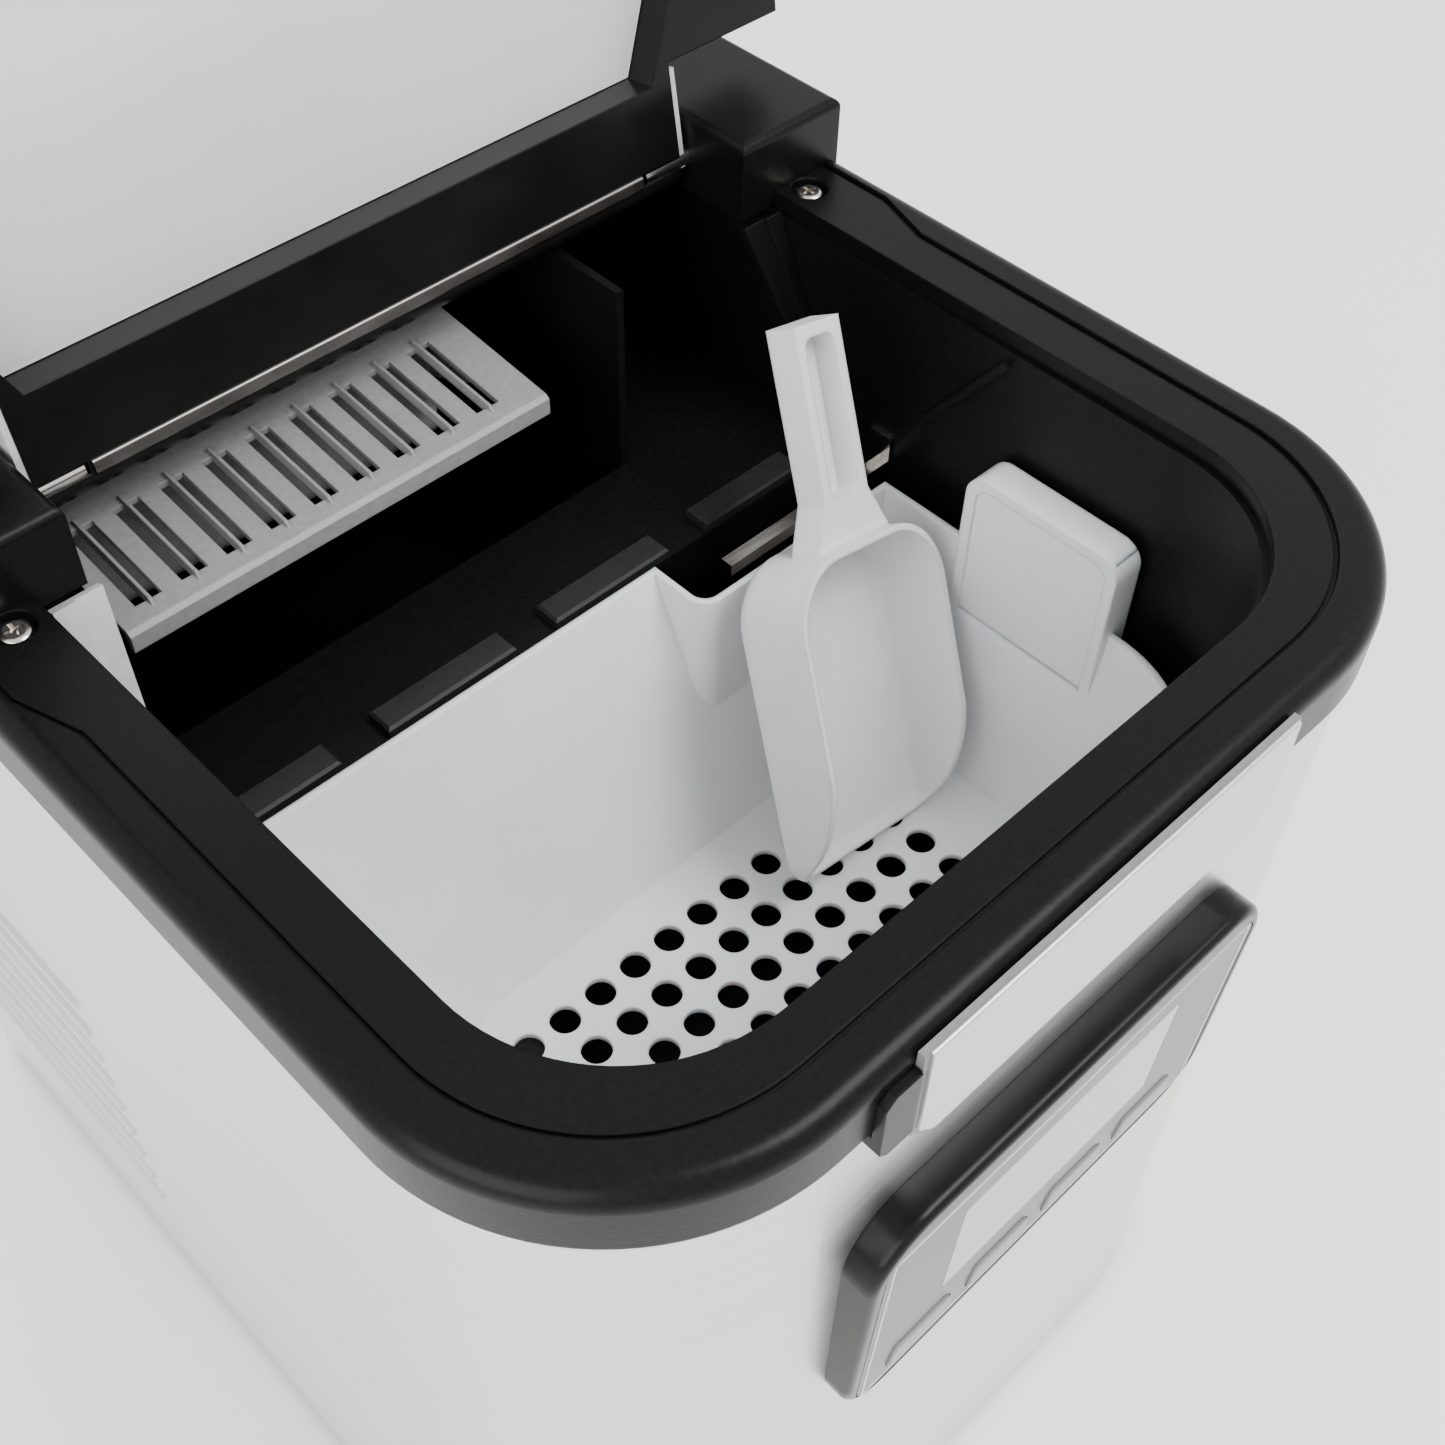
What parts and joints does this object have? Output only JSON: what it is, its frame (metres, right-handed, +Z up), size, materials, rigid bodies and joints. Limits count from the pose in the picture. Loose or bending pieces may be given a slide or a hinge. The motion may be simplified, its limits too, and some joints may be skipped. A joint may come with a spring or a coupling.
{
  "type": "countertop ice maker",
  "caption": "Free-standing ice maker with an open hinged lid, lift-out perforated basket, scoop, tipping ice tray and front control panel.",
  "frame": {"origin": "on the floor under the middle of the appliance, on the plane of the feet's undersides", "axes": "+Z up, +Y towards the back of the appliance, +X to the right seen from the front"},
  "size_m": [0.29, 0.3722, 0.5848],
  "materials": {
    "base_tray": "moulded",
    "rubber_feet": "matte",
    "case_wrap": "satin",
    "rear_panel": "satin",
    "cord_gland": "matte",
    "top_bezel": "satin black",
    "bezel_screws": "polished",
    "rear_cover": "satin black",
    "hinge_pins": "turned",
    "inner_tub": "moulded",
    "right_ice_guide": "gloss black",
    "left_ice_guide": "light grey",
    "sensor_bracket": "rolled",
    "shelf_pads": "dark grey",
    "gear_motor": "moulded",
    "evaporator_block": "cast",
    "evaporator_fingers": "nickel-plated",
    "evaporator_bracket": "rolled",
    "compressor": "black enamel",
    "compressor_grommets": "matte",
    "condenser": "mill",
    "fan_shroud": "moulded",
    "fan_motor": "satin",
    "filter_drier": "copper",
    "discharge_tube": "copper",
    "condenser_tube": "copper",
    "capillary_tube": "copper",
    "suction_tube": "copper",
    "water_pump": "moulded",
    "suction_hose": "translucent silicone",
    "delivery_hose": "translucent silicone",
    "drain_pipe": "silicone",
    "panel_frame": "gloss black",
    "display_glass": "smoked, silver edge line",
    "lcd_screen": "light grey",
    "lcd_module": "moulded",
    "control_board": "green laminate",
    "trim_rim": "grey",
    "trim_plate": "silver satin",
    "trim_tab": "black",
    "lid_frame": "gloss black",
    "lid_window": "frosted, light grey",
    "lid_strip": "rolled",
    "lid_bumpers": "matte",
    "lid_hinge_caps": "light grey",
    "water_trough": "light grey",
    "ice_shovel": "light grey",
    "tray_shaft": "turned",
    "ice_basket": "translucent light grey",
    "ice_scoop": "light grey",
    "fan_rotor": "moulded",
    "drain_plug": "matte",
    "button_left": "grey, printed mark",
    "button_mid_left": "grey, printed mark",
    "button_mid_right": "grey, printed mark",
    "button_right": "grey, printed mark"
  },
  "bodies": {
    "cabinet": {"base_tray": "base_tray", "rubber_feet": "rubber_feet", "case_wrap": "case_wrap", "rear_panel": "rear_panel", "cord_gland": "cord_gland", "top_bezel": "top_bezel", "bezel_screws": "bezel_screws", "rear_cover": "rear_cover", "hinge_pins": "hinge_pins", "inner_tub": "inner_tub", "right_ice_guide": "right_ice_guide", "left_ice_guide": "left_ice_guide", "sensor_bracket": "sensor_bracket", "shelf_pads": "shelf_pads", "gear_motor": "gear_motor", "evaporator_block": "evaporator_block", "evaporator_fingers": "evaporator_fingers", "evaporator_bracket": "evaporator_bracket", "compressor": "compressor", "compressor_grommets": "compressor_grommets", "condenser": "condenser", "fan_shroud": "fan_shroud", "fan_motor": "fan_motor", "filter_drier": "filter_drier", "discharge_tube": "discharge_tube", "condenser_tube": "condenser_tube", "capillary_tube": "capillary_tube", "suction_tube": "suction_tube", "water_pump": "water_pump", "suction_hose": "suction_hose", "delivery_hose": "delivery_hose", "drain_pipe": "drain_pipe", "panel_frame": "panel_frame", "display_glass": "display_glass", "lcd_screen": "lcd_screen", "lcd_module": "lcd_module", "control_board": "control_board", "trim_rim": "trim_rim", "trim_plate": "trim_plate", "trim_tab": "trim_tab"},
    "lid": {"lid_frame": "lid_frame", "lid_window": "lid_window", "lid_strip": "lid_strip", "lid_bumpers": "lid_bumpers", "lid_hinge_caps": "lid_hinge_caps"},
    "ice_tray": {"water_trough": "water_trough", "ice_shovel": "ice_shovel", "tray_shaft": "tray_shaft"},
    "basket": {"ice_basket": "ice_basket"},
    "scoop": {"ice_scoop": "ice_scoop"},
    "fan": {"fan_rotor": "fan_rotor"},
    "plug": {"drain_plug": "drain_plug"},
    "key_left": {"button_left": "button_left"},
    "key_mid_left": {"button_mid_left": "button_mid_left"},
    "key_mid_right": {"button_mid_right": "button_mid_right"},
    "key_right": {"button_right": "button_right"}
  },
  "joints": [
    {"name": "lid_hinge", "type": "hinge", "parent": "cabinet", "child": "lid", "pos_m": [0, 0.06306, 0.3465], "axis": [-1, 0, 0], "range_deg": [-100, 0]},
    {"name": "tray_tilt", "type": "hinge", "parent": "cabinet", "child": "ice_tray", "pos_m": [0, 0.12806, 0.316], "axis": [1, 0, 0], "range_deg": [0, 80]},
    {"name": "basket_lift", "type": "slide", "parent": "cabinet", "child": "basket", "axis": [0, 0, 1], "range_m": [0, 0.16]},
    {"name": "scoop_lift", "type": "slide", "parent": "basket", "child": "scoop", "axis": [0, 0, 1], "range_m": [0, 0.12]},
    {"name": "fan_spin", "type": "hinge", "parent": "cabinet", "child": "fan", "pos_m": [-0.1075, 0.10906, 0.117], "axis": [1, 0, 0], "continuous": true},
    {"name": "plug_pull", "type": "slide", "parent": "cabinet", "child": "plug", "axis": [1, 0, 0], "range_m": [0, 0.03]},
    {"name": "key_left_press", "type": "slide", "parent": "cabinet", "child": "key_left", "axis": [0, 0.9995, 0.0314], "range_m": [0, 0.0009], "stiffness_N_per_m": 400},
    {"name": "key_mid_left_press", "type": "slide", "parent": "cabinet", "child": "key_mid_left", "axis": [0, 0.9995, 0.0314], "range_m": [0, 0.0009], "stiffness_N_per_m": 400},
    {"name": "key_mid_right_press", "type": "slide", "parent": "cabinet", "child": "key_mid_right", "axis": [0, 0.9995, 0.0314], "range_m": [0, 0.0009], "stiffness_N_per_m": 400},
    {"name": "key_right_press", "type": "slide", "parent": "cabinet", "child": "key_right", "axis": [0, 0.9995, 0.0314], "range_m": [0, 0.0009], "stiffness_N_per_m": 400}
  ]
}
